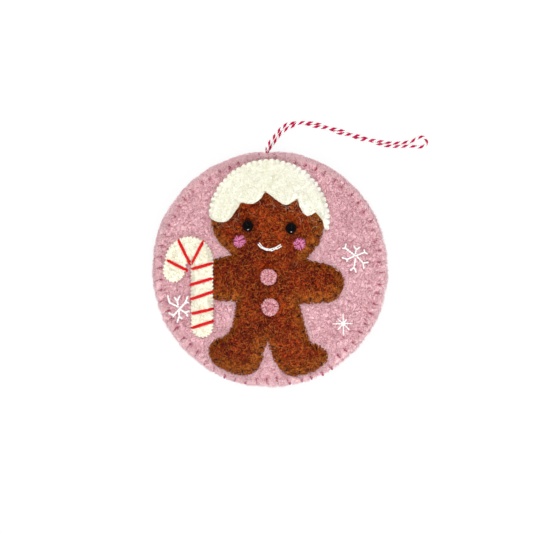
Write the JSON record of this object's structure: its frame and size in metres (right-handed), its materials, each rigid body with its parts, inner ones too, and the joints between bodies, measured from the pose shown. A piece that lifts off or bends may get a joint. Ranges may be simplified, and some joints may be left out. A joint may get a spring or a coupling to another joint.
{
  "type": "felt christmas ornament",
  "caption": "Padded round pink felt hanging ornament with a gingerbread figure, icing, candy cane and embroidered snowflakes on the front and a loop of twine.",
  "frame": {"origin": "on the resting plane, under the middle of the padded disc, which lies on its back", "axes": "+Z out of the front, +Y across the disc to the seam that the hanging loop leaves, +X to the right seen from the front"},
  "size_m": [0.1189, 0.1148, 0.0142],
  "materials": {
    "pink_felt": "matte wool felt",
    "brown_felt": "matte wool felt",
    "cream_felt": "matte wool felt",
    "wadding": "loose wool wadding",
    "pink_thread": "cotton thread",
    "red_thread": "cotton thread",
    "white_thread": "cotton thread",
    "black_thread": "cotton thread",
    "cheek_thread": "satin stitch",
    "black_bead": "polished, opaque",
    "twine": "plied red and white cotton"
  },
  "bodies": {
    "ornament": {"back_disc": "pink_felt", "wadding": "wadding", "front_disc": "pink_felt", "rim_stitching": "pink_thread", "gingerbread_figure": "brown_felt", "icing_cap": "cream_felt", "candy_cane": "cream_felt", "cane_stripe_1": "red_thread", "cane_stripe_2": "red_thread", "cane_stripe_3": "red_thread", "cane_stripe_4": "red_thread", "cane_stripe_5": "red_thread", "cane_stripe_6": "red_thread", "cane_stripe_7": "red_thread", "cane_stripe_8": "red_thread", "eye_bead_left": "black_bead", "eye_bead_right": "black_bead", "eye_thread_left": "black_thread", "eye_thread_right": "black_thread", "cheek_left": "cheek_thread", "cheek_right": "cheek_thread", "button_upper": "pink_felt", "button_lower": "pink_felt", "smile": "white_thread", "snowflake_left": "white_thread", "snowflake_upper": "white_thread", "snowflake_lower": "white_thread", "twine_knot": "twine"},
    "hang_loop": {"twine_loop": "twine"}
  },
  "joints": [
    {"name": "loop_swing", "type": "hinge", "parent": "ornament", "child": "hang_loop", "pos_m": [-0.001, 0.051, 0.00355], "axis": [0, 0, 1], "range_deg": [-15, 90]}
  ]
}
